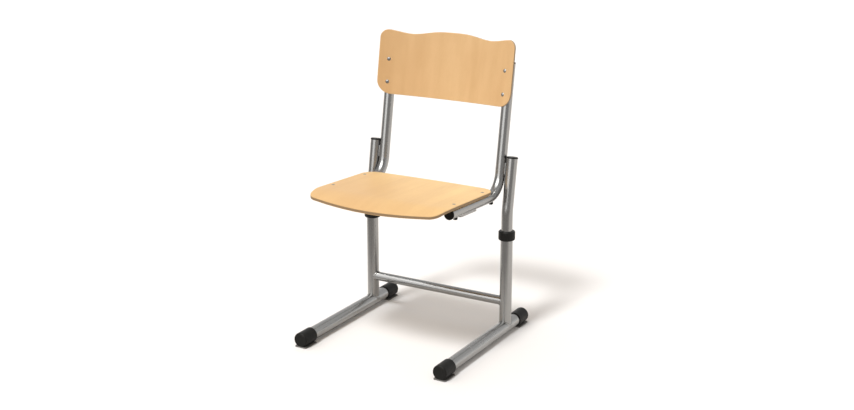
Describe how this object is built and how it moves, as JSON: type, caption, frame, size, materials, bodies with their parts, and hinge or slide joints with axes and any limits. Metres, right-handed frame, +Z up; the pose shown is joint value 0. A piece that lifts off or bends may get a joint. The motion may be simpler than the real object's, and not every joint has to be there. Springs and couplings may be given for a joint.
{
  "type": "school chair",
  "caption": "School chair on two runner feet, with telescoping posts that set its height, bent tube side frames, and a curved plywood seat and backrest.",
  "frame": {"origin": "on the floor, under the middle of the chair's box", "axes": "+Z up, the sitter faces -Y, +X to the sitter's left"},
  "size_m": [0.468, 0.4702, 0.7937],
  "materials": {
    "silver_steel": "satin silver, even",
    "zinc_steel": "zinc plated",
    "rivet_metal": "plain, slightly bright",
    "rivet_steel": "plain steel wire",
    "black_plastic": "fine moulded matt",
    "black_rubber": "matt",
    "beech_ply": "clear satin lacquer on beech"
  },
  "bodies": {
    "base": {"left_foot_tube": "silver_steel", "right_foot_tube": "silver_steel", "left_front_foot_cap": "black_plastic", "left_rear_foot_cap": "black_plastic", "right_front_foot_cap": "black_plastic", "right_rear_foot_cap": "black_plastic", "left_lower_post": "silver_steel", "right_lower_post": "silver_steel", "crossbar": "silver_steel", "foot_welds": "silver_steel", "crossbar_welds": "silver_steel", "left_collar": "black_plastic", "right_collar": "black_plastic", "left_lock_screw": "zinc_steel", "right_lock_screw": "zinc_steel", "left_lock_nut": "zinc_steel", "right_lock_nut": "zinc_steel"},
    "seat_frame": {"left_upper_post": "silver_steel", "right_upper_post": "silver_steel", "left_post_cap": "black_plastic", "right_post_cap": "black_plastic", "left_post_guide": "black_plastic", "right_post_guide": "black_plastic", "left_side_frame": "silver_steel", "right_side_frame": "silver_steel", "side_frame_welds": "silver_steel", "left_rail_plug": "black_plastic", "right_rail_plug": "black_plastic", "left_back_plug": "black_plastic", "right_back_plug": "black_plastic", "cross_plate": "silver_steel", "cross_plate_welds": "silver_steel", "rail_buffers": "black_rubber", "seat": "beech_ply", "seat_rivets": "rivet_metal", "seat_rivet_mandrels": "rivet_steel", "backrest": "beech_ply", "back_rivets": "rivet_metal", "back_rivet_mandrels": "rivet_steel"}
  },
  "joints": [
    {"name": "height_slide", "type": "slide", "parent": "base", "child": "seat_frame", "axis": [0, 0, 1], "range_m": [-0.04, 0.04]}
  ]
}
